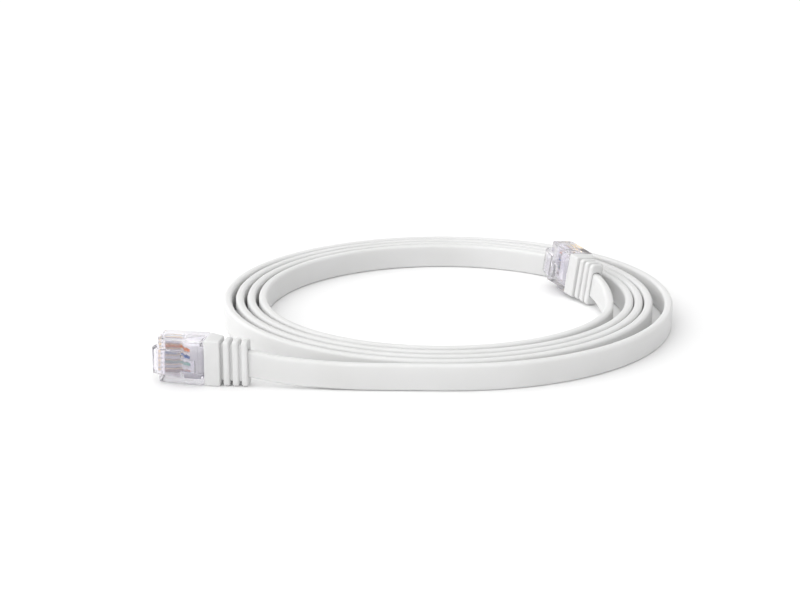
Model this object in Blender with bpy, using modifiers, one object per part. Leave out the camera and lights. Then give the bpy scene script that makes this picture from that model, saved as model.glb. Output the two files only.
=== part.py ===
"""Flat ethernet patch cable, standing on its edge in an open coil.

A flat white cable winds inwards through a little over four turns. Each end goes through a
ribbed boot into a clear eight-contact modular plug, whose latch is a lever that bends at
the nose. Metres, +Z up, and everything stands on z = 0.

Each plug is modelled in millimetres in a frame of its own: x runs from the boot's cable end
to the plug's nose, y towards the latch, and z across the plug's width, up from its lower
side. An empty carries that frame to its place.
"""

import math

import bmesh
import bpy
from mathutils import Matrix, Vector

MM = 0.001

# The cable and its clearances.
CABLE_WIDTH = 6.9 * MM
CABLE_THICKNESS = 2.3 * MM
GAP = 0.3 * MM

# The coil: its centre, and the centreline's radius after each number of turns, counted
# anticlockwise from the front (-Y) and winding inwards.
COIL_CENTRE = Vector((15.19 * MM, 13.49 * MM))
COIL_TURNS = 4.2
COIL_STEPS_PER_TURN = 48
COIL_RADII = (
    (0.0, 60.85), (0.25, 61.5), (0.5, 61.9), (0.75, 61.15),
    (1.0, 57.3), (1.25, 56.0), (1.5, 58.9), (1.75, 57.75),
    (2.0, 53.8), (2.25, 53.35), (2.5, 55.8), (2.75, 54.6),
    (3.0, 50.3), (3.25, 50.8), (3.5, 52.8), (3.75, 51.4),
    (4.0, 46.75), (4.2, 45.9),
)

# Where each plug's frame stands: x, y and z from the coil's centre on the floor, in
# millimetres; the heading of its nose; how far the nose tips up; and how far the plug leans
# away from its latch side, in degrees.
PLUG_PLACES = {
    "front": (-50.8, -56.9, 0.0, 169.5, 0.0, 0.0),
    "back": (41.7, 11.1, 0.3, 115.5, 4.0, 7.0),
}

# The uncoiled stretches, from the boot to the coil: (x, y, z) from the coil's centre on the
# floor, in millimetres. Each comes down from the middle of its plug to stand on the floor.
LEAD_ROUTES = {
    "front": ((-45.5, -57.9, 4.85), (-38.0, -59.0, 4.15), (-25.0, -60.2, 3.56), (-12.5, -60.6, 3.49)),
    "back": ((44.0, 5.2, 5.3), (44.8, -1.3, 4.4), (44.7, -7.5, 3.7)),
}
LEAD_ENDS_AT_TURN = {"front": 0.0, "back": COIL_TURNS}
LEAD_STEP = 4.5 * MM

# Plug frame, in millimetres.
PLUG_WIDTH = 11.9
MID = PLUG_WIDTH / 2
BLOCK_SIDE = ((7.0, -2.7), (11.0, -4.9), (11.0, 3.0), (7.0, 2.8))
RIB_PITCH = 2.32
RIB_THICKNESS = 1.62
RIB_SIDES = ((-1.9, 2.0), (-2.2, 2.2), (-2.5, 2.4))
NOSE = 23.2
BODY_WIDTH = 11.68
TONGUE_BACK = 8.3
JACKET_END = 15.0
PIN_COUNT = 8
PIN_PITCH = 1.02
WIRE_PITCH_AT_JACKET = 0.9
WIRE_RADIUS = 0.36
CONTACT_THICKNESS = 0.35
CONTACT_SLOT = 0.7
LATCH_WIDTH = 6.6
LATCH_TAIL_WIDTH = 3.3
LATCH_HINGE = (23.6, 2.2)

WIRE_COLOURS = (
    ("white_orange", (0.85, 0.55, 0.35)), ("orange", (0.85, 0.25, 0.03)),
    ("white_green", (0.55, 0.75, 0.6)), ("blue", (0.03, 0.12, 0.5)),
    ("white_blue", (0.5, 0.6, 0.8)), ("green", (0.02, 0.35, 0.25)),
    ("white_brown", (0.75, 0.65, 0.58)), ("brown", (0.3, 0.12, 0.06)),
)


def clear_scene():
    for obj in list(bpy.data.objects):
        bpy.data.objects.remove(obj, do_unlink=True)


def new_collection(name):
    made = bpy.data.collections.new(name)
    bpy.context.scene.collection.children.link(made)
    return made


def make_material(name, colour, roughness=0.5, metallic=0.0, transmission=0.0):
    material = bpy.data.materials.new(name)
    material.use_nodes = True
    shader = material.node_tree.nodes["Principled BSDF"]
    shader.inputs["Base Color"].default_value = (*colour, 1.0)
    shader.inputs["Roughness"].default_value = roughness
    shader.inputs["Metallic"].default_value = metallic
    shader.inputs["Transmission Weight"].default_value = transmission
    return material


def link(obj, material=None, parent=None):
    """Puts a part in the parts collection, with its material and the empty that carries it."""
    PARTS.objects.link(obj)
    obj.data.materials.append(material)
    obj.parent = parent
    return obj


def link_cutter(obj, parent):
    CUTTERS.objects.link(obj)
    obj.parent = parent
    obj.hide_render = True
    obj.display_type = "WIRE"
    return obj


def box_object(name, low, high):
    """A box between two corners given in millimetres."""
    mesh = bpy.data.meshes.new(name)
    shape = bmesh.new()
    bmesh.ops.create_cube(shape, size=1.0)
    size = [(b - a) * MM for a, b in zip(low, high)]
    middle = [(a + b) / 2 * MM for a, b in zip(low, high)]
    bmesh.ops.scale(shape, vec=size, verts=shape.verts)
    bmesh.ops.translate(shape, vec=middle, verts=shape.verts)
    shape.to_mesh(mesh)
    shape.free()
    return bpy.data.objects.new(name, mesh)


def plate_object(name, outline, low, high):
    """A flat outline in x and y, millimetres, as thick as from low to high along z."""
    curve = bpy.data.curves.new(name, "CURVE")
    curve.dimensions = "2D"
    curve.fill_mode = "BOTH"
    curve.extrude = (high - low) / 2 * MM
    spline = curve.splines.new("POLY")
    spline.points.add(len(outline) - 1)
    for point, (x, y) in zip(spline.points, outline):
        point.co = (x * MM, y * MM, 0.0, 1.0)
    spline.use_cyclic_u = True
    flat = bpy.data.objects.new(name + "_outline", curve)
    bpy.context.scene.collection.objects.link(flat)
    mesh = bpy.data.meshes.new_from_object(flat.evaluated_get(bpy.context.evaluated_depsgraph_get()))
    bpy.data.objects.remove(flat, do_unlink=True)
    shape = bmesh.new()
    shape.from_mesh(mesh)
    bmesh.ops.remove_doubles(shape, verts=shape.verts, dist=1e-6)
    bmesh.ops.translate(shape, vec=(0.0, 0.0, (low + high) / 2 * MM), verts=shape.verts)
    shape.to_mesh(mesh)
    shape.free()
    mesh.name = name
    return bpy.data.objects.new(name, mesh)


def bevel(obj, width, segments=2):
    modifier = obj.modifiers.new("rounded_edges", "BEVEL")
    modifier.width = width * MM
    modifier.segments = segments
    modifier.limit_method = "ANGLE"


def combine(obj, other, operation):
    modifier = obj.modifiers.new(other.name, "BOOLEAN")
    modifier.operation = operation
    modifier.object = other


def read_smoothly(knots, place):
    """A smooth curve through (place, value) knots, read at one place between them."""
    last = len(knots) - 2
    index = min(max(sum(1 for knot in knots if knot[0] <= place) - 1, 0), last)

    def slope(at):
        before = knots[max(at - 1, 0)]
        after = knots[min(at + 1, len(knots) - 1)]
        return (after[1] - before[1]) / (after[0] - before[0])

    (start, low), (end, high) = knots[index], knots[index + 1]
    span = end - start
    u = (place - start) / span
    return (
        (2 * u**3 - 3 * u**2 + 1) * low
        + (u**3 - 2 * u**2 + u) * span * slope(index)
        + (3 * u**2 - 2 * u**3) * high
        + (u**3 - u**2) * span * slope(index + 1)
    )


def coil_point(turn, offset=0.0):
    """The coil's centreline after this many turns, moved outwards by the offset."""
    radius = read_smoothly(COIL_RADII, turn) * MM + offset
    angle = math.radians(-90.0 + 360.0 * turn)
    return COIL_CENTRE + Vector((math.cos(angle), math.sin(angle))) * radius


def make_coil():
    """One solid of the coil's outer shape: from the outermost turn to the innermost one."""
    curve = bpy.data.curves.new("cable_coil", "CURVE")
    curve.dimensions = "2D"
    curve.fill_mode = "BOTH"
    curve.extrude = CABLE_WIDTH / 2
    half = CABLE_THICKNESS / 2
    for first, offset in ((0.0, half), (COIL_TURNS - 1.0, -half)):
        spline = curve.splines.new("POLY")
        spline.points.add(COIL_STEPS_PER_TURN)
        for step, point in enumerate(spline.points):
            x, y = coil_point(first + step / COIL_STEPS_PER_TURN, offset)
            point.co = (x, y, 0.0, 1.0)
        spline.use_cyclic_u = True
    coil = bpy.data.objects.new("cable_coil", curve)
    coil.location.z = CABLE_WIDTH / 2
    link(coil, JACKET)


def plug_matrix(end):
    x, y, z, heading, tip, roll = PLUG_PLACES[end]
    place = Matrix.Translation(COIL_CENTRE.to_3d() + Vector((x, y, z)) * MM)
    turn = Matrix.Rotation(math.radians(heading), 4, "Z")
    lift = Matrix.Rotation(math.radians(-tip), 4, "Y")
    lean = Matrix.Rotation(math.radians(roll), 4, "X")
    return place @ turn @ lift @ lean


def lead_points(end):
    """Even points along a smooth curve from a boot to the coil, a gap short of each."""
    knots = [plug_matrix(end) @ Vector((-GAP, 0.0, MID * MM))]
    knots += [Vector(point) * MM + COIL_CENTRE.to_3d() for point in LEAD_ROUTES[end]]
    knots.append(coil_point(LEAD_ENDS_AT_TURN[end]).to_3d())
    knots[-1].z = CABLE_WIDTH / 2
    lengths = [0.0]
    for before, after in zip(knots, knots[1:]):
        lengths.append(lengths[-1] + (after - before).length)
    axes = [[(length, knot[axis]) for length, knot in zip(lengths, knots)] for axis in range(3)]
    last = lengths[-1] - GAP
    count = round(last / LEAD_STEP)
    return [[read_smoothly(axis, last * step / count) for axis in axes] for step in range(count + 1)]


def make_lead(end):
    """A flat length of cable on its edge, with round edges, between a boot and the coil."""
    name = end + "_cable_lead"
    curve = bpy.data.curves.new(name, "CURVE")
    curve.dimensions = "3D"
    curve.twist_mode = "Z_UP"
    curve.fill_mode = "FULL"
    curve.bevel_depth = CABLE_THICKNESS / 2
    curve.bevel_resolution = 2
    curve.extrude = (CABLE_WIDTH - CABLE_THICKNESS) / 2
    curve.use_fill_caps = True
    points = lead_points(end)
    spline = curve.splines.new("POLY")
    spline.points.add(len(points) - 1)
    for point, place in zip(spline.points, points):
        point.co = (*place, 1.0)
    link(bpy.data.objects.new(name, curve), JACKET)


def plug_frame(end):
    empty = bpy.data.objects.new(end + "_plug_frame", None)
    empty.empty_display_size = 10 * MM
    empty.matrix_world = plug_matrix(end)
    PARTS.objects.link(empty)
    return empty


def make_boot(end, frame):
    """The moulded boot: a block round the plug's tail, then three ribs that get thinner."""
    name = end + "_boot"
    boot = link(plate_object(name, BLOCK_SIDE, 0.0, PLUG_WIDTH), BOOT, frame)
    bevel(boot, 0.4)
    core = link_cutter(box_object(name + "_core", (0.4, -1.8, 1.3), (8.0, 1.8, 10.6)), frame)
    combine(boot, core, "UNION")
    for index, (far, near) in enumerate(RIB_SIDES):
        start = index * RIB_PITCH
        low = (start, far, 0.0)
        high = (start + RIB_THICKNESS, near, PLUG_WIDTH)
        rib = link_cutter(box_object(f"{name}_rib_{index}", low, high), frame)
        bevel(rib, 0.5)
        combine(boot, rib, "UNION")
    half_width = CABLE_WIDTH / MM / 2 + 0.3
    half_thickness = CABLE_THICKNESS / MM / 2 + 0.3
    cuts = {
        "_cable_slot": ((-1.0, -half_thickness, MID - half_width), (8.6, half_thickness, MID + half_width)),
        "_socket": ((8.0, -2.7, 0.9), (12.5, 2.3, 11.0)),
    }
    for suffix, (low, high) in cuts.items():
        cutter = link_cutter(box_object(name + suffix, low, high), frame)
        combine(boot, cutter, "DIFFERENCE")


def pin_height(pin):
    """The height of a contact in the plug's frame; pin 0 is the highest."""
    return MID + ((PIN_COUNT - 1) / 2 - pin) * PIN_PITCH


def make_housing(end, frame):
    """The clear shell: a body with a raised tail, and a tongue that the boot grips."""
    name = end + "_plug_housing"
    side = (
        (11.3, -4.9), (22.6, -4.9), (NOSE, -4.3), (NOSE, 1.4),
        (22.9, 1.7), (16.6, 1.7), (15.7, 2.6), (11.3, 2.6),
    )
    edge = (PLUG_WIDTH - BODY_WIDTH) / 2
    housing = link(plate_object(name, side, edge, PLUG_WIDTH - edge), CLEAR, frame)
    bevel(housing, 0.15, 1)
    tongue = box_object(name + "_tongue", (TONGUE_BACK, -2.4, 1.2), (12.4, 2.0, 10.7))
    combine(housing, link_cutter(tongue, frame), "UNION")
    hollows = {
        "_duct": ((7.5, -1.7, 2.0), (12.9, 1.5, 9.9)),
        "_cavity": ((12.3, -3.6, 1.3), (16.8, 1.4, 10.6)),
        "_wire_channel": ((16.6, -3.3, 1.6), (22.5, -0.9, 10.3)),
        "_crimp_window": ((12.3, -5.5, 2.3), (15.0, -3.4, 9.6)),
    }
    for suffix, (low, high) in hollows.items():
        combine(housing, link_cutter(box_object(name + suffix, low, high), frame), "DIFFERENCE")
    for pin in range(PIN_COUNT):
        middle = pin_height(pin)
        low = (18.0, -5.5, middle - CONTACT_SLOT / 2)
        high = (23.6, -3.1, middle + CONTACT_SLOT / 2)
        slot = link_cutter(box_object(f"{name}_slot_{pin}", low, high), frame)
        combine(housing, slot, "DIFFERENCE")


def make_latch(end, frame):
    """The lever that locks the plug: a root at the nose, locking shoulders and a thumb tail."""
    name = end + "_latch"
    hinge = bpy.data.objects.new(name + "_hinge", None)
    hinge.empty_display_size = 4 * MM
    hinge.parent = frame
    hinge.location = Vector((*LATCH_HINGE, MID)) * MM
    PARTS.objects.link(hinge)
    side = (
        (23.5, -0.9), (24.3, -0.7), (24.6, 0.2), (24.6, 2.0), (24.3, 2.8), (23.6, 3.3),
        (17.0, 5.35), (16.4, 5.0), (12.4, 6.25), (12.4, 5.35), (22.6, 2.2), (23.3, 1.9), (23.5, 1.6),
    )
    side = [(x - LATCH_HINGE[0], y - LATCH_HINGE[1]) for x, y in side]
    latch = link(plate_object(name, side, -LATCH_WIDTH / 2, LATCH_WIDTH / 2), CLEAR, hinge)
    back = 12.0 - LATCH_HINGE[0]
    front = 16.4 - LATCH_HINGE[0]
    for edge, sign in (("lower", -1), ("upper", 1)):
        near = sign * LATCH_TAIL_WIDTH / 2
        far = sign * (LATCH_WIDTH / 2 + 1)
        low = (back, 1.0, min(near, far))
        high = (front, 6.0, max(near, far))
        cutter = link_cutter(box_object(f"{name}_{edge}_relief", low, high), hinge)
        combine(latch, cutter, "DIFFERENCE")


def make_contacts(end, frame):
    blade = (
        (18.4, -2.95), (18.4, -4.3), (18.7, -4.6), (22.2, -4.6),
        (22.6, -4.4), (22.8, -4.0), (22.8, -3.3), (22.4, -2.95),
    )
    for pin in range(PIN_COUNT):
        middle = pin_height(pin)
        half = CONTACT_THICKNESS / 2
        contact = plate_object(f"{end}_contact_{pin + 1}", blade, middle - half, middle + half)
        link(contact, GOLD, frame)


def make_wires(end, frame):
    """Eight wires that fan out from the jacket and dip under the contacts."""
    for pin, (colour, _) in enumerate(WIRE_COLOURS):
        at_pin = pin_height(pin)
        at_jacket = MID + (at_pin - MID) * WIRE_PITCH_AT_JACKET / PIN_PITCH
        name = f"{end}_wire_{colour}"
        curve = bpy.data.curves.new(name, "CURVE")
        curve.dimensions = "3D"
        curve.bevel_depth = WIRE_RADIUS * MM
        curve.bevel_resolution = 2
        curve.use_fill_caps = True
        path = (
            (JACKET_END + 0.3, 0.0, 0.0), (15.9, -0.2, 0.2), (16.5, -0.95, 0.5),
            (17.1, -1.8, 0.8), (17.7, -2.22, 1.0), (18.4, -2.3, 1.0), (22.1, -2.3, 1.0),
        )
        spline = curve.splines.new("POLY")
        spline.points.add(len(path) - 1)
        for point, (x, y, share) in zip(spline.points, path):
            z = at_jacket + (at_pin - at_jacket) * share
            point.co = (x * MM, y * MM, z * MM, 1.0)
        link(bpy.data.objects.new(name, curve), WIRES[colour], frame)


def make_inner_pieces(end, frame):
    """What the clear shell holds besides the wires and contacts."""
    half_width = CABLE_WIDTH / MM / 2
    half_thickness = CABLE_THICKNESS / MM / 2
    low = (1.0, -half_thickness, MID - half_width)
    high = (JACKET_END, half_thickness, MID + half_width)
    jacket = link(box_object(end + "_jacket_end", low, high), JACKET, frame)
    bevel(jacket, 0.5)
    bar = ((12.7, -3.3), (14.8, -3.3), (14.3, -1.4), (13.1, -1.4))
    link(plate_object(end + "_crimp_bar", bar, 2.6, 9.3), CLEAR, frame)
    link(box_object(end + "_load_bar", (18.2, -1.6, 1.9), (22.0, -1.2, 10.0)), CLEAR, frame)


def make_plug(end):
    frame = plug_frame(end)
    make_boot(end, frame)
    make_housing(end, frame)
    make_latch(end, frame)
    make_contacts(end, frame)
    make_wires(end, frame)
    make_inner_pieces(end, frame)


def shade_round_parts():
    for obj in PARTS.objects:
        if obj.type == "MESH":
            obj.data.shade_smooth()
            obj.data.set_sharp_from_angle(angle=math.radians(35))


clear_scene()
PARTS = new_collection("ethernet_patch_cable")
CUTTERS = new_collection("cutters")
JACKET = make_material("white_pvc_jacket", (0.83, 0.83, 0.82), 0.42)
BOOT = make_material("white_pvc_boot", (0.8, 0.8, 0.79), 0.48)
CLEAR = make_material("clear_polycarbonate", (0.86, 0.84, 0.95), 0.08, transmission=0.9)
GOLD = make_material("gold_plated_bronze", (0.9, 0.66, 0.28), 0.25, metallic=1.0)
WIRES = {name: make_material("wire_" + name, colour, 0.45) for name, colour in WIRE_COLOURS}

make_coil()
for plug_end in PLUG_PLACES:
    make_lead(plug_end)
    make_plug(plug_end)
shade_round_parts()
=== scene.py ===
"""Looks of a flat ethernet patch cable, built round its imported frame.

One flat cable runs from inside the front plug, round the coil and into the back plug. Each
plug is modelled in millimetres in a frame of its own: x runs from the boot's cable end to
the plug's nose, y towards the latch, and z across the plug's width, up from its lower side.
Everything else is in metres, +Z up, on a floor at z = 0.
"""

import math

import bmesh
import bpy
from mathutils import Matrix, Vector


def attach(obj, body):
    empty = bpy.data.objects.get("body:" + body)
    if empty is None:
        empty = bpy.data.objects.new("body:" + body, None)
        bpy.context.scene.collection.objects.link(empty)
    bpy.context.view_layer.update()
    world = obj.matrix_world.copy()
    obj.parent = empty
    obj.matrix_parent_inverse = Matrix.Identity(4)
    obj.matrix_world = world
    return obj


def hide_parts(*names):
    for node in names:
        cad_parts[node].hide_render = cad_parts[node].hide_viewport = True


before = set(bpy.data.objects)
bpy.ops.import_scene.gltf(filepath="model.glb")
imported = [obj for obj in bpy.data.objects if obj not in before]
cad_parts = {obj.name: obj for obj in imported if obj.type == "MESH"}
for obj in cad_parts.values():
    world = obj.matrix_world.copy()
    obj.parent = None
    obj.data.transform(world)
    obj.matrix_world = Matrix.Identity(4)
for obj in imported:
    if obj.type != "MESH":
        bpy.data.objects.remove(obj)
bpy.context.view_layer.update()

MM = 0.001

# The camera and the studio; angles in degrees.
CAMERA_LENS = 84.14
CAMERA_PLACE = (2.12 * MM, -486.9 * MM, 156.65 * MM)
CAMERA_LOOKS_DOWN = 16.85
FLOOR_HALF_WIDTH = 4.0
SURROUND_LEFT = 0.98
SURROUND_RIGHT = 0.48
KEY_POWER = 1.6
KEY_SPREAD = 110.0
KEY_COMES_FROM = Vector((-0.25, -0.17, 0.5))

# The cable, and its route: the same driving points as the design.
CABLE_WIDTH = 6.9 * MM
CABLE_THICKNESS = 2.3 * MM
CABLE_EDGE_RADIUS = 0.8 * MM
GAP = 0.3 * MM
RING_STEP = 1.5 * MM
COIL_CENTRE = Vector((15.19 * MM, 13.49 * MM))
COIL_TURNS = 4.2
COIL_STEPS_PER_TURN = 192
COIL_RADII = (
    (0.0, 60.85), (0.25, 61.5), (0.5, 61.9), (0.75, 61.15),
    (1.0, 57.3), (1.25, 56.0), (1.5, 58.9), (1.75, 57.75),
    (2.0, 53.8), (2.25, 53.35), (2.5, 55.8), (2.75, 54.6),
    (3.0, 50.3), (3.25, 50.8), (3.5, 52.8), (3.75, 51.4),
    (4.0, 46.75), (4.2, 45.9),
)
PLUG_PLACES = {
    "front": (-50.8, -56.9, 0.0, 169.5, 0.0, 0.0),
    "back": (41.7, 11.1, 0.3, 115.5, 4.0, 7.0),
}
LEAD_ROUTES = {
    "front": ((-45.5, -57.9, 4.85), (-38.0, -59.0, 4.15), (-25.0, -60.2, 3.56), (-12.5, -60.6, 3.49)),
    "back": ((44.0, 5.2, 5.3), (44.8, -1.3, 4.4), (44.7, -7.5, 3.7)),
}
LEAD_ENDS_AT_TURN = {"front": 0.0, "back": COIL_TURNS}
LEAN_EASES_OVER = 22.0 * MM
EASING_PASSES = 6

# Plug frame, in millimetres.
PLUG_WIDTH = 11.9
MID = PLUG_WIDTH / 2
BLOCK_SIDE = ((7.0, -2.7), (11.0, -4.9), (11.0, 3.0), (7.0, 2.8))
RIB_PITCH = 2.32
RIB_THICKNESS = 1.62
RIB_SIDES = ((-1.9, 2.0), (-2.2, 2.2), (-2.5, 2.4))
NOSE = 23.2
BODY_WIDTH = 11.68
TONGUE_BACK = 8.3
JACKET_END = 15.0
PIN_COUNT = 8
PIN_PITCH = 1.02
WIRE_PITCH_AT_JACKET = 0.9
WIRE_RADIUS = 0.36
CONTACT_THICKNESS = 0.35
CONTACT_SLOT = 0.7
LATCH_WIDTH = 6.6
LATCH_TAIL_WIDTH = 3.3

# The boot's roundings, grooves, socket and bore, and how the wires are drawn, in millimetres.
CORE_HALF_THICKNESS = 1.35
CORE_INSET = 1.1
RIB_EDGE = 0.5
RIB_CORNER = 1.0
CORE_CORNER = 0.7
GROOVE_WALL = 0.05
BLOCK_EDGE = 0.35
BLOCK_CORNER = 0.55
SOCKET_END = 8.0
SOCKET = ((-2.7, 0.9), (2.3, 11.0))
SOCKET_CORNER = 0.5
BORE_FIT = 0.06
BORE_CORNER = 0.8
BORE_FLARE = 0.25
WIRE_STEP = 0.2
WIRE_SIDES = 14

# White PVC as it varies, darkest and lightest.
PVC_SHADES = ((0.685, 0.685, 0.68, 1.0), (0.72, 0.72, 0.72, 1.0))

# Pin 1 first: each wire's colour, and whether it is a stripe on white.
WIRE_COLOURS = (
    ("white_orange", (0.85, 0.22, 0.02), True), ("orange", (0.85, 0.22, 0.02), False),
    ("white_green", (0.02, 0.3, 0.2), True), ("blue", (0.02, 0.12, 0.42), False),
    ("white_blue", (0.02, 0.12, 0.42), True), ("green", (0.02, 0.3, 0.2), False),
    ("white_brown", (0.35, 0.1, 0.06), True), ("brown", (0.35, 0.1, 0.06), False),
)


# ---------------------------------------------------------------- the camera

def make_camera():
    """A long lens in front of the cable, a little above it and looking down at it."""
    data = bpy.data.cameras.new("camera")
    data.lens = CAMERA_LENS
    data.clip_start = 0.01
    camera = bpy.data.objects.new("camera", data)
    camera.location = CAMERA_PLACE
    camera.rotation_euler = (math.radians(90.0 - CAMERA_LOOKS_DOWN), 0.0, 0.0)
    bpy.context.scene.collection.objects.link(camera)
    bpy.context.scene.camera = camera


# ---------------------------------------------------------------- materials

class Finish:
    """A material with a Principled shader, and short ways to add nodes to it."""

    def __init__(self, name, **constants):
        self.material = bpy.data.materials.new(name)
        self.material.use_nodes = True
        self.tree = self.material.node_tree
        self.shader = self.tree.nodes["Principled BSDF"]
        for socket, value in constants.items():
            self.shader.inputs[socket.replace("_", " ")].default_value = value

    def add(self, kind, inputs=None, **settings):
        node = self.tree.nodes.new("ShaderNode" + kind)
        for key, value in settings.items():
            setattr(node, key, value)
        for key, value in (inputs or {}).items():
            self.put(node.inputs[key], value)
        return node

    def put(self, socket, value):
        if isinstance(value, bpy.types.NodeSocket):
            self.tree.links.new(value, socket)
        else:
            socket.default_value = value

    def place(self, stretch=(1.0, 1.0, 1.0)):
        """The point being shaded, in metres, with each axis stretched."""
        where = self.add("TexCoord").outputs["Object"]
        return self.add("Mapping", {"Vector": where, "Scale": stretch}).outputs["Vector"]

    def noise(self, where, scale, detail=3.0, roughness=0.55):
        inputs = {"Vector": where, "Scale": scale, "Detail": detail, "Roughness": roughness}
        return self.add("TexNoise", inputs).outputs["Fac"]

    def between(self, factor, low, high):
        """The factor's usual 0.3 to 0.7 stretched to run from low to high."""
        inputs = {"Value": factor, "From Min": 0.3, "From Max": 0.7, "To Min": low, "To Max": high}
        return self.add("MapRange", inputs).outputs["Result"]

    def mix(self, factor, first, second):
        node = self.add("Mix", data_type="RGBA")
        for socket, value in zip((node.inputs[0], node.inputs[6], node.inputs[7]), (factor, first, second)):
            self.put(socket, value)
        return node.outputs[2]

    def sum(self, first, second, share=1.0):
        node = self.add("Math", operation="MULTIPLY_ADD")
        for socket, value in zip(node.inputs, (second, share, first)):
            self.put(socket, value)
        return node.outputs[0]

    def bump(self, height, strength, distance):
        node = self.add("Bump", {"Height": height, "Strength": strength, "Distance": distance})
        self.put(self.shader.inputs["Normal"], node.outputs["Normal"])

    def read(self, attribute):
        return self.add("Attribute", attribute_name=attribute).outputs["Fac"]


def jacket_finish():
    """Extruded white PVC, slightly translucent: faint lines along it, a grain, a soft sheen."""
    made = Finish(
        "white_pvc_jacket", IOR=1.45, Subsurface_Weight=0.8,
        Subsurface_Radius=(1.0, 1.0, 0.97), Subsurface_Scale=0.0018,
    )
    strip = made.add("CombineXYZ", {"X": made.read("along"), "Y": made.read("across")}).outputs["Vector"]
    drawn_out = made.add("Mapping", {"Vector": strip, "Scale": (0.02, 2.4, 1.0)}).outputs["Vector"]
    lines = made.noise(drawn_out, 1.0, 2.0)
    grain = made.noise(made.place(), 2600.0, 2.0)
    cloud = made.noise(made.place(), 45.0, 2.0)
    made.put(made.shader.inputs["Base Color"], made.mix(made.between(cloud, 0.0, 1.0), *PVC_SHADES))
    made.put(made.shader.inputs["Roughness"], made.between(made.sum(lines, grain, 0.3), 0.36, 0.5))
    made.bump(made.sum(lines, grain, 0.35), 0.3, 0.00003)
    return made.material


def boot_finish():
    """Moulded white PVC, softer than the jacket, with a fine spark-eroded grain."""
    made = Finish(
        "white_pvc_boot", IOR=1.45, Subsurface_Weight=0.2,
        Subsurface_Radius=(1.0, 1.0, 0.95), Subsurface_Scale=0.0006,
    )
    grain = made.noise(made.place(), 5200.0, 3.0)
    cloud = made.noise(made.place(), 160.0, 2.0)
    colour = made.mix(made.between(cloud, 0.0, 1.0), *PVC_SHADES)
    made.put(made.shader.inputs["Base Color"], colour)
    made.put(made.shader.inputs["Roughness"], made.between(grain, 0.42, 0.6))
    made.bump(made.sum(grain, cloud, 0.6), 0.3, 0.00004)
    return made.material


def clear_finish():
    """Clear polycarbonate with a lavender cast, faint flow lines and moulding haze."""
    made = Finish("clear_polycarbonate", IOR=1.2, Transmission_Weight=0.92)
    flow = made.noise(made.place((1.0, 1.0, 0.25)), 420.0, 2.0)
    haze = made.noise(made.place(), 900.0, 3.0)
    colour = made.mix(made.between(haze, 0.0, 1.0), (0.955, 0.94, 1.0, 1.0), (0.985, 0.975, 1.0, 1.0))
    made.put(made.shader.inputs["Base Color"], colour)
    made.put(made.shader.inputs["Roughness"], made.between(haze, 0.03, 0.1))
    made.bump(flow, 0.25, 0.00012)
    return made.material


def gold_finish():
    """Gold plating over bronze, wiped along the blade."""
    made = Finish("gold_plating", Metallic=1.0)
    wipe = made.noise(made.place((1.0, 6.0, 6.0)), 900.0, 3.0)
    colour = made.mix(made.between(wipe, 0.0, 1.0), (0.86, 0.6, 0.24, 1.0), (0.98, 0.77, 0.4, 1.0))
    made.put(made.shader.inputs["Base Color"], colour)
    made.put(made.shader.inputs["Roughness"], made.between(wipe, 0.18, 0.36))
    made.bump(wipe, 0.2, 0.00001)
    return made.material


def wire_finish(name, colour, striped):
    """Glossy insulation in one colour, or white with a thin stripe on the contacts' side."""
    made = Finish("wire_" + name, Roughness=0.35)
    cloud = made.noise(made.place(), 1400.0, 2.0)
    deep = (*[channel * 0.75 for channel in colour], 1.0)
    painted = made.mix(made.between(cloud, 0.0, 1.0), deep, (*colour, 1.0))
    if striped:
        inputs = {"Value": made.read("across"), "From Min": -0.75, "From Max": -0.9}
        stripe = made.add("MapRange", inputs).outputs["Result"]
        painted = made.mix(stripe, (0.86, 0.84, 0.82, 1.0), painted)
    made.put(made.shader.inputs["Base Color"], painted)
    made.bump(cloud, 0.2, 0.00002)
    return made.material


def floor_finish():
    made = Finish("pale_floor", Roughness=0.7)
    cloud = made.noise(made.place(), 3.0, 3.0)
    colour = made.mix(made.between(cloud, 0.0, 1.0), (0.93, 0.93, 0.93, 1.0), (0.95, 0.95, 0.95, 1.0))
    made.put(made.shader.inputs["Base Color"], colour)
    return made.material


# ---------------------------------------------------------------- shapes

def link(obj, material, body, replaced):
    """Adds a piece: its material, the body it rides on and the nodes it stands for."""
    bpy.context.scene.collection.objects.link(obj)
    obj.data.materials.append(material)
    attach(obj, body)
    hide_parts(*replaced)
    return obj


def smooth(obj, angle=35.0):
    obj.data.shade_smooth()
    obj.data.set_sharp_from_angle(angle=math.radians(angle))


def loft(name, rings, along, across, ring_closed=False):
    """A closed skin over rings of equal counts, with two values kept on each point.

    The rings have a cap at each end, or with ring_closed the last ring joins the first.
    """
    shape = bmesh.new()
    layers = [shape.verts.layers.float.new(label) for label in ("along", "across")]
    rows = []
    for ring, length in zip(rings, along):
        row = []
        for place, side in zip(ring, across):
            corner = shape.verts.new(place)
            corner[layers[0]] = length
            corner[layers[1]] = side
            row.append(corner)
        rows.append(row)
    if ring_closed:
        rows.append(rows[0])
    else:
        shape.faces.new(rows[0])
        shape.faces.new(rows[-1])
    for lower, upper in zip(rows, rows[1:]):
        for index in range(len(lower)):
            after = (index + 1) % len(lower)
            shape.faces.new((lower[index], lower[after], upper[after], upper[index]))
    bmesh.ops.recalc_face_normals(shape, faces=shape.faces)
    mesh = bpy.data.meshes.new(name)
    shape.to_mesh(mesh)
    shape.free()
    return bpy.data.objects.new(name, mesh)


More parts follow.
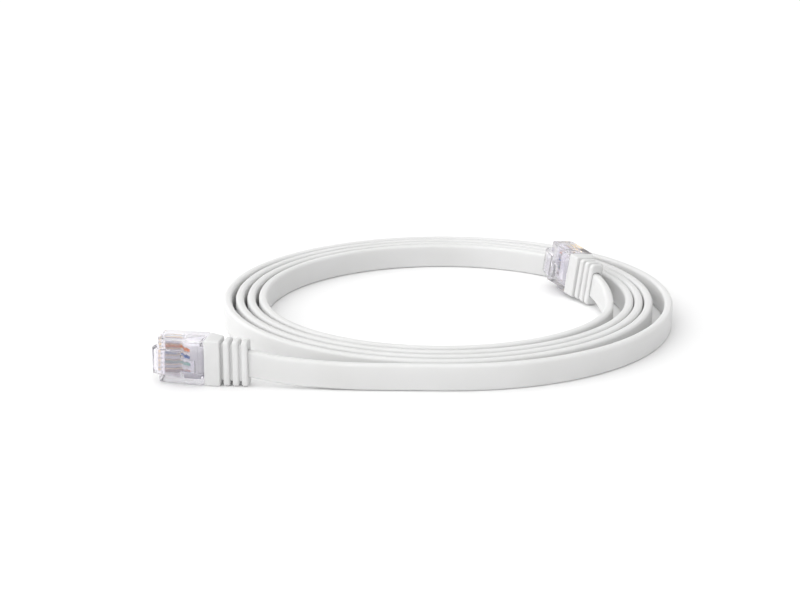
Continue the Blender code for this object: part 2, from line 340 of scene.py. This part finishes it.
def rounded_rectangle(low, high, radius, steps):
    """Points round a rectangle with round corners, from its lower right corner, anticlockwise."""
    points = []
    for right, top, start in ((1, 0, -90.0), (1, 1, 0.0), (0, 1, 90.0), (0, 0, 180.0)):
        middle_x = high[0] - radius if right else low[0] + radius
        middle_y = high[1] - radius if top else low[1] + radius
        for step in range(steps + 1):
            angle = math.radians(start + 90.0 * step / steps)
            points.append((middle_x + radius * math.cos(angle), middle_y + radius * math.sin(angle)))
    return points


def read_smoothly(knots, place):
    """A smooth curve through (place, value) knots, read at one place between them."""
    last = len(knots) - 2
    index = min(max(sum(1 for knot in knots if knot[0] <= place) - 1, 0), last)

    def slope(at):
        before = knots[max(at - 1, 0)]
        after = knots[min(at + 1, len(knots) - 1)]
        return (after[1] - before[1]) / (after[0] - before[0])

    (start, low), (end, high) = knots[index], knots[index + 1]
    span = end - start
    u = (place - start) / span
    return (
        (2 * u**3 - 3 * u**2 + 1) * low
        + (u**3 - 2 * u**2 + u) * span * slope(index)
        + (3 * u**2 - 2 * u**3) * high
        + (u**3 - u**2) * span * slope(index + 1)
    )


def read_path(knots, step):
    """Even points along a smooth curve through points."""
    lengths = [0.0]
    for before, after in zip(knots, knots[1:]):
        lengths.append(lengths[-1] + (after - before).length)
    axes = [[(length, knot[axis]) for length, knot in zip(lengths, knots)] for axis in range(3)]
    count = round(lengths[-1] / step)
    return [
        Vector([read_smoothly(axis, lengths[-1] * index / count) for axis in axes])
        for index in range(count + 1)
    ]


def even_points(points, step):
    """Points an equal length apart along straight runs between closer points."""
    lengths = [0.0]
    for before, after in zip(points, points[1:]):
        lengths.append(lengths[-1] + (after - before).length)
    count = round(lengths[-1] / step)
    made = []
    index = 0
    for number in range(count + 1):
        target = lengths[-1] * number / count
        while index < len(points) - 2 and lengths[index + 1] < target:
            index += 1
        share = (target - lengths[index]) / (lengths[index + 1] - lengths[index])
        made.append(points[index].lerp(points[index + 1], share))
    return made


def plug_matrix(end):
    x, y, z, heading, tip, roll = PLUG_PLACES[end]
    place = Matrix.Translation(COIL_CENTRE.to_3d() + Vector((x, y, z)) * MM)
    turn = Matrix.Rotation(math.radians(heading), 4, "Z")
    lift = Matrix.Rotation(math.radians(-tip), 4, "Y")
    lean = Matrix.Rotation(math.radians(roll), 4, "X")
    return place @ turn @ lift @ lean


# ---------------------------------------------------------------- the cable

def coil_point(turn):
    radius = read_smoothly(COIL_RADII, turn) * MM
    angle = math.radians(-90.0 + 360.0 * turn)
    flat = COIL_CENTRE + Vector((math.cos(angle), math.sin(angle))) * radius
    return Vector((flat.x, flat.y, CABLE_WIDTH / 2))


def lead_points(end):
    """From inside the plug, out of the boot and along the uncoiled stretch to the coil."""
    inside = [plug_matrix(end) @ Vector((x * MM, 0.0, MID * MM)) for x in (JACKET_END, 10.0, 5.0)]
    knots = [plug_matrix(end) @ Vector((-GAP, 0.0, MID * MM))]
    knots += [Vector(point) * MM + COIL_CENTRE.to_3d() for point in LEAD_ROUTES[end]]
    knots.append(coil_point(LEAD_ENDS_AT_TURN[end]))
    return inside + read_path(knots, RING_STEP)


def cable_route():
    """The centreline from plug to plug, eased where its stretches meet."""
    steps = round(COIL_TURNS * COIL_STEPS_PER_TURN)
    route = lead_points("front")
    route += [coil_point(COIL_TURNS * step / steps) for step in range(1, steps)]
    route += reversed(lead_points("back"))
    route = even_points(route, RING_STEP)
    for _ in range(EASING_PASSES):
        inner = [(a + b * 2 + c) / 4 for a, b, c in zip(route, route[1:], route[2:])]
        route = [route[0], *inner, route[-1]]
    return route


def strip_up(index, count):
    """Up across the strip: as its plug leans inside the plug, then eased to straight up."""
    upright = Vector((0.0, 0.0, 1.0))
    for end, steps in (("front", index), ("back", count - 1 - index)):
        past_plug = steps * RING_STEP - JACKET_END * MM
        if past_plug < LEAN_EASES_OVER:
            share = max(past_plug, 0.0) / LEAN_EASES_OVER
            leaning = plug_matrix(end).to_3x3() @ upright
            return leaning.lerp(upright, share * share * (3 - 2 * share))
    return upright


def make_cable(material):
    """The flat cable as one strip on its edge, with round edges, along its whole route."""
    route = cable_route()
    half = Vector((CABLE_THICKNESS / 2, CABLE_WIDTH / 2))
    outline = rounded_rectangle(-half, half, CABLE_EDGE_RADIUS, 5)
    rings = []
    for index, centre in enumerate(route):
        ahead = route[min(index + 1, len(route) - 1)] - route[max(index - 1, 0)]
        ahead.normalize()
        side = ahead.cross(strip_up(index, len(route))).normalized()
        up = side.cross(ahead)
        rings.append([centre + side * x + up * y for x, y in outline])
    along = [index * RING_STEP / MM for index in range(len(route))]
    across = [(y + x * 0.3) / MM for x, y in outline]
    cable = loft("flat_cable", rings, along, across)
    smooth(cable, 50.0)
    replaced = ("cable_coil", "front_cable_lead", "back_cable_lead", "front_jacket_end", "back_jacket_end")
    link(cable, material, "cable", replaced)
    return cable, route


# ---------------------------------------------------------------- the plugs

def put_in_place(obj, end):
    """Moves a mesh from its plug's frame in millimetres to where it lies."""
    obj.data.transform(plug_matrix(end) @ Matrix.Scale(MM, 4))


def box_shape(name, low, high, edge=0.0, steps=3):
    """A box between two corners, millimetres, with round edges."""
    shape = bmesh.new()
    bmesh.ops.create_cube(shape, size=1.0)
    bmesh.ops.scale(shape, vec=[b - a for a, b in zip(low, high)], verts=shape.verts)
    bmesh.ops.translate(shape, vec=[(a + b) / 2 for a, b in zip(low, high)], verts=shape.verts)
    if edge:
        bmesh.ops.bevel(
            shape, geom=shape.edges[:], offset=edge, segments=steps, profile=0.5, affect="EDGES",
        )
    mesh = bpy.data.meshes.new(name)
    shape.to_mesh(mesh)
    shape.free()
    return bpy.data.objects.new(name, mesh)


def plate_shape(name, outline, low, high, edge=0.0, steps=3):
    """A flat outline in x and y, as thick as from low to high along z, with round edges."""
    shape = bmesh.new()
    bottom = [shape.verts.new((x, y, low)) for x, y in outline]
    top = [shape.verts.new((x, y, high)) for x, y in outline]
    shape.faces.new(bottom)
    shape.faces.new(top)
    for index in range(len(outline)):
        after = (index + 1) % len(outline)
        shape.faces.new((bottom[index], bottom[after], top[after], top[index]))
    bmesh.ops.recalc_face_normals(shape, faces=shape.faces)
    if edge:
        sharp = [e for e in shape.edges if e.calc_face_angle() > math.radians(20.0)]
        bmesh.ops.bevel(
            shape, geom=sharp, offset=edge, segments=steps, profile=0.5, affect="EDGES",
        )
    mesh = bpy.data.meshes.new(name)
    shape.to_mesh(mesh)
    shape.free()
    return bpy.data.objects.new(name, mesh)


def carve(obj, others, operation="DIFFERENCE"):
    """Cuts other shapes from a mesh, or joins them to it, and removes them."""
    scene = bpy.context.scene.collection
    for piece in (obj, *others):
        scene.objects.link(piece)
    for other in others:
        modifier = obj.modifiers.new(other.name, "BOOLEAN")
        modifier.operation = operation
        modifier.object = other
    solid = bpy.data.meshes.new_from_object(obj.evaluated_get(bpy.context.evaluated_depsgraph_get()))
    obj.modifiers.clear()
    obj.data = solid
    scene.objects.unlink(obj)
    for other in others:
        bpy.data.objects.remove(other, do_unlink=True)


def rounded_band(start, end, radius):
    """(x, inset) along a band whose two edges are round."""
    steps = 5
    corner = [math.radians(90.0 * step / steps) for step in range(steps + 1)]
    first = [(start + radius * (1 - math.cos(a)), radius * (1 - math.sin(a))) for a in corner]
    return first + [(start + end - x, inset) for x, inset in reversed(first)]


def side_of_block(x):
    """The block's far and near sides at this x, between its two ends."""
    thin_far, wide_far, wide_near, thin_near = BLOCK_SIDE
    share = (x - thin_far[0]) / (wide_far[0] - thin_far[0])
    far = thin_far[1] + (wide_far[1] - thin_far[1]) * share
    return far, thin_near[1] + (wide_near[1] - thin_near[1]) * share


def boot_stations():
    """The boot's skin, in order: its outer side towards the nose, then its bore back again.

    Each station is (x, low corner, high corner, inset, corner radius), in millimetres.
    """
    core_low = (-CORE_HALF_THICKNESS, CORE_INSET)
    core_high = (CORE_HALF_THICKNESS, PLUG_WIDTH - CORE_INSET)
    stations = []
    for index, (far, near) in enumerate(RIB_SIDES):
        start = index * RIB_PITCH
        end = start + RIB_THICKNESS
        for x, inset in rounded_band(start, end, RIB_EDGE):
            stations.append((x, (far, 0.0), (near, PLUG_WIDTH), inset, RIB_CORNER))
        for x in (end + GROOVE_WALL, start + RIB_PITCH - GROOVE_WALL):
            stations.append((x, core_low, core_high, 0.0, CORE_CORNER))
    block_start, block_end = BLOCK_SIDE[0][0], BLOCK_SIDE[1][0]
    stations.append((block_start - GROOVE_WALL, core_low, core_high, 0.0, CORE_CORNER))
    for x, inset in rounded_band(block_start, block_end, BLOCK_EDGE):
        far, near = side_of_block(x)
        stations.append((x, (far, 0.0), (near, PLUG_WIDTH), inset, BLOCK_CORNER))
    for x in (block_end, SOCKET_END):
        stations.append((x, *SOCKET, 0.0, SOCKET_CORNER))
    bore_high = (CABLE_THICKNESS / MM / 2 + BORE_FIT, MID + CABLE_WIDTH / MM / 2 + BORE_FIT)
    bore_low = (-bore_high[0], 2 * MID - bore_high[1])
    for x, inset in ((SOCKET_END, 0.0), (BORE_FLARE, 0.0), (0.0, -BORE_FLARE)):
        stations.append((x, bore_low, bore_high, inset, BORE_CORNER))
    return stations


def make_boot(end, material):
    rings = []
    for x, low, high, inset, radius in boot_stations():
        corner_low = (low[0] + inset, low[1] + inset)
        corner_high = (high[0] - inset, high[1] - inset)
        corner = max(radius - inset, 0.2)
        rings.append([Vector((x, y, z)) for y, z in rounded_rectangle(corner_low, corner_high, corner, 6)])
    counts = range(len(rings[0]))
    boot = loft(end + "_ribbed_boot", rings, range(len(rings)), counts, ring_closed=True)
    smooth(boot, 40.0)
    put_in_place(boot, end)
    return link(boot, material, "cable", [end + "_boot"])


def pin_height(pin):
    """The height of a contact in the plug's frame; pin 0 is the highest."""
    return MID + ((PIN_COUNT - 1) / 2 - pin) * PIN_PITCH


def make_shell(end, material):
    """The clear housing: raised tail, tongue, jacket chamber, wire channel and contact slots."""
    side = (
        (11.3, -4.9), (22.6, -4.9), (NOSE, -4.3), (NOSE, 1.4),
        (22.9, 1.7), (16.6, 1.7), (15.7, 2.6), (11.3, 2.6),
    )
    edge = (PLUG_WIDTH - BODY_WIDTH) / 2
    shell = plate_shape(end + "_clear_shell", side, edge, PLUG_WIDTH - edge, 0.22)
    carve(shell, [box_shape("tongue", (TONGUE_BACK, -2.4, 1.2), (12.4, 2.0, 10.7), 0.2)], "UNION")
    hollows = [
        box_shape("duct", (7.5, -1.7, 2.0), (12.9, 1.5, 9.9), 0.15),
        box_shape("chamber", (12.3, -3.6, 1.3), (16.8, 1.4, 10.6), 0.2),
        box_shape("wire_channel", (16.6, -3.3, 1.6), (22.5, -0.9, 10.3), 0.15),
        box_shape("crimp_window", (12.3, -5.5, 2.3), (15.0, -3.4, 9.6), 0.12),
    ]
    for pin in range(PIN_COUNT):
        middle = pin_height(pin)
        low = (18.0, -5.5, middle - CONTACT_SLOT / 2)
        high = (23.6, -3.1, middle + CONTACT_SLOT / 2)
        hollows.append(box_shape(f"slot_{pin}", low, high))
    carve(shell, hollows)
    smooth(shell, 30.0)
    put_in_place(shell, end)
    return link(shell, material, "cable", [end + "_plug_housing"])


def make_latch(end, material):
    """The bending lever: root at the nose, locking shoulders, and a narrower thumb tail."""
    side = (
        (23.5, -0.9), (24.3, -0.7), (24.6, 0.2), (24.6, 2.0), (24.3, 2.8), (23.6, 3.3),
        (17.0, 5.35), (16.4, 5.0), (12.4, 6.25), (12.4, 5.35), (22.6, 2.2), (23.3, 1.9), (23.5, 1.6),
    )
    low, high = MID - LATCH_WIDTH / 2, MID + LATCH_WIDTH / 2
    latch = plate_shape(end + "_latch_lever", side, low, high, 0.14)
    reliefs = [
        box_shape("lower", (12.0, 3.2, low - 1), (16.4, 8.2, MID - LATCH_TAIL_WIDTH / 2), 0.2),
        box_shape("upper", (12.0, 3.2, MID + LATCH_TAIL_WIDTH / 2), (16.4, 8.2, high + 1), 0.2),
    ]
    carve(latch, reliefs)
    smooth(latch, 30.0)
    put_in_place(latch, end)
    return link(latch, material, end + "_latch", [end + "_latch"])


def make_contacts(end, material):
    """Eight gold blades: a round crown for the jack's springs, and two teeth for the wire."""
    blade = (
        (18.4, -2.7), (18.4, -4.3), (18.5, -4.5), (18.8, -4.6), (22.1, -4.6), (22.5, -4.45),
        (22.75, -4.1), (22.8, -3.3), (22.4, -2.95), (21.4, -2.95), (21.1, -2.7), (20.8, -2.95),
        (19.2, -2.95), (18.8, -2.7),
    )
    made = []
    for pin in range(PIN_COUNT):
        middle = pin_height(pin)
        half = CONTACT_THICKNESS / 2
        contact = plate_shape(f"{end}_gold_contact_{pin + 1}", blade, middle - half, middle + half, 0.05, 2)
        smooth(contact, 30.0)
        put_in_place(contact, end)
        node = f"{end}_contact_{pin + 1}"
        made.append(link(contact, material, "cable", [node]))
    return made


def make_wires(end, materials):
    """Eight insulated wires that leave the jacket side by side and dip under the contacts."""
    made = []
    turn = [math.radians(360.0 * side / WIRE_SIDES) for side in range(WIRE_SIDES)]
    for pin, (colour, _, _) in enumerate(WIRE_COLOURS):
        at_pin = pin_height(pin)
        at_jacket = MID + (at_pin - MID) * WIRE_PITCH_AT_JACKET / PIN_PITCH
        knots = []
        for x, y, share in (
            (JACKET_END - 0.1, 0.0, 0.0), (15.5, -0.05, 0.05), (15.9, -0.2, 0.2), (16.5, -0.95, 0.5),
            (17.1, -1.8, 0.8), (17.7, -2.22, 1.0), (18.4, -2.3, 1.0), (20.0, -2.3, 1.0), (22.1, -2.3, 1.0),
        ):
            knots.append(Vector((x, y, at_jacket + (at_pin - at_jacket) * share)))
        route = read_path(knots, WIRE_STEP)
        rings = []
        for index, centre in enumerate(route):
            ahead = route[min(index + 1, len(route) - 1)] - route[max(index - 1, 0)]
            side = ahead.cross(Vector((0.0, 0.0, 1.0))).normalized()
            up = side.cross(ahead.normalized())
            rings.append([centre + (side * math.cos(a) + up * math.sin(a)) * WIRE_RADIUS for a in turn])
        along = [index * WIRE_STEP for index in range(len(route))]
        wire = loft(f"{end}_insulated_wire_{colour}", rings, along, [-math.cos(a) for a in turn])
        smooth(wire, 50.0)
        put_in_place(wire, end)
        made.append(link(wire, materials[colour], "cable", [f"{end}_wire_{colour}"]))
    return made


def make_comb(end, material):
    """The load bar: a thin plate over the wires, with a tooth between each two."""
    outline = [(1.9, -1.2), (1.9, -2.2)]
    for pin in reversed(range(PIN_COUNT)):
        middle = pin_height(pin)
        outline += [
            (middle - 0.41, -2.2), (middle - 0.41, -2.0), (middle - 0.2, -1.78),
            (middle + 0.2, -1.78), (middle + 0.41, -2.0), (middle + 0.41, -2.2),
        ]
    outline += [(10.0, -2.2), (10.0, -1.2)]
    comb = plate_shape(end + "_wire_comb", outline, 18.2, 22.0)
    comb.data.transform(Matrix(((0, 0, 1, 0), (0, 1, 0, 0), (1, 0, 0, 0), (0, 0, 0, 1))))
    comb.data.flip_normals()
    put_in_place(comb, end)
    return link(comb, material, "cable", [end + "_load_bar"])


def make_clamp(end, material):
    """The crimp bar that holds the jacket, a blunt wedge across the plug."""
    bar = ((12.7, -3.3), (14.8, -3.3), (14.3, -1.4), (13.1, -1.4))
    clamp = plate_shape(end + "_jacket_clamp", bar, 2.6, 9.3, 0.18)
    smooth(clamp, 30.0)
    put_in_place(clamp, end)
    return link(clamp, material, "cable", [end + "_crimp_bar"])


def make_plug(end, finishes, wire_finishes):
    pieces = [
        make_boot(end, finishes["boot"]),
        make_shell(end, finishes["clear"]),
        make_latch(end, finishes["clear"]),
        make_comb(end, finishes["clear"]),
        make_clamp(end, finishes["clear"]),
    ]
    pieces += make_contacts(end, finishes["gold"])
    pieces += make_wires(end, wire_finishes)
    return pieces


# ---------------------------------------------------------------- the studio

def make_floor():
    mesh = bpy.data.meshes.new("floor")
    shape = bmesh.new()
    bmesh.ops.create_grid(shape, x_segments=1, y_segments=1, size=FLOOR_HALF_WIDTH)
    shape.to_mesh(mesh)
    shape.free()
    floor = bpy.data.objects.new("floor", mesh)
    bpy.context.scene.collection.objects.link(floor)
    mesh.materials.append(floor_finish())


def light_studio():
    """A white surround, brighter on the left, and one very wide light from the upper left."""
    world = bpy.data.worlds.new("studio")
    world.use_nodes = True
    tree = world.node_tree
    background = tree.nodes["Background"]
    background.inputs["Color"].default_value = (1.0, 1.0, 1.0, 1.0)
    direction = tree.nodes.new("ShaderNodeSeparateXYZ")
    tree.links.new(tree.nodes.new("ShaderNodeTexCoord").outputs["Generated"], direction.inputs["Vector"])
    fall = tree.nodes.new("ShaderNodeMapRange")
    ends = {"From Min": -0.8, "From Max": 0.8, "To Min": SURROUND_LEFT, "To Max": SURROUND_RIGHT}
    for socket, value in ends.items():
        fall.inputs[socket].default_value = value
    tree.links.new(direction.outputs["X"], fall.inputs["Value"])
    tree.links.new(fall.outputs["Result"], background.inputs["Strength"])
    bpy.context.scene.world = world
    data = bpy.data.lights.new("key_light", "SUN")
    data.energy = KEY_POWER
    data.angle = math.radians(KEY_SPREAD)
    key = bpy.data.objects.new("key_light", data)
    key.rotation_euler = KEY_COMES_FROM.to_track_quat("Z", "Y").to_euler()
    bpy.context.scene.collection.objects.link(key)
    bpy.context.scene.view_settings.view_transform = "Standard"


make_camera()
cable, route = make_cable(jacket_finish())
plug_finishes = {"boot": boot_finish(), "clear": clear_finish(), "gold": gold_finish()}
wire_finishes = {name: wire_finish(name, colour, striped) for name, colour, striped in WIRE_COLOURS}
plugs = {end: make_plug(end, plug_finishes, wire_finishes) for end in PLUG_PLACES}
make_floor()
light_studio()
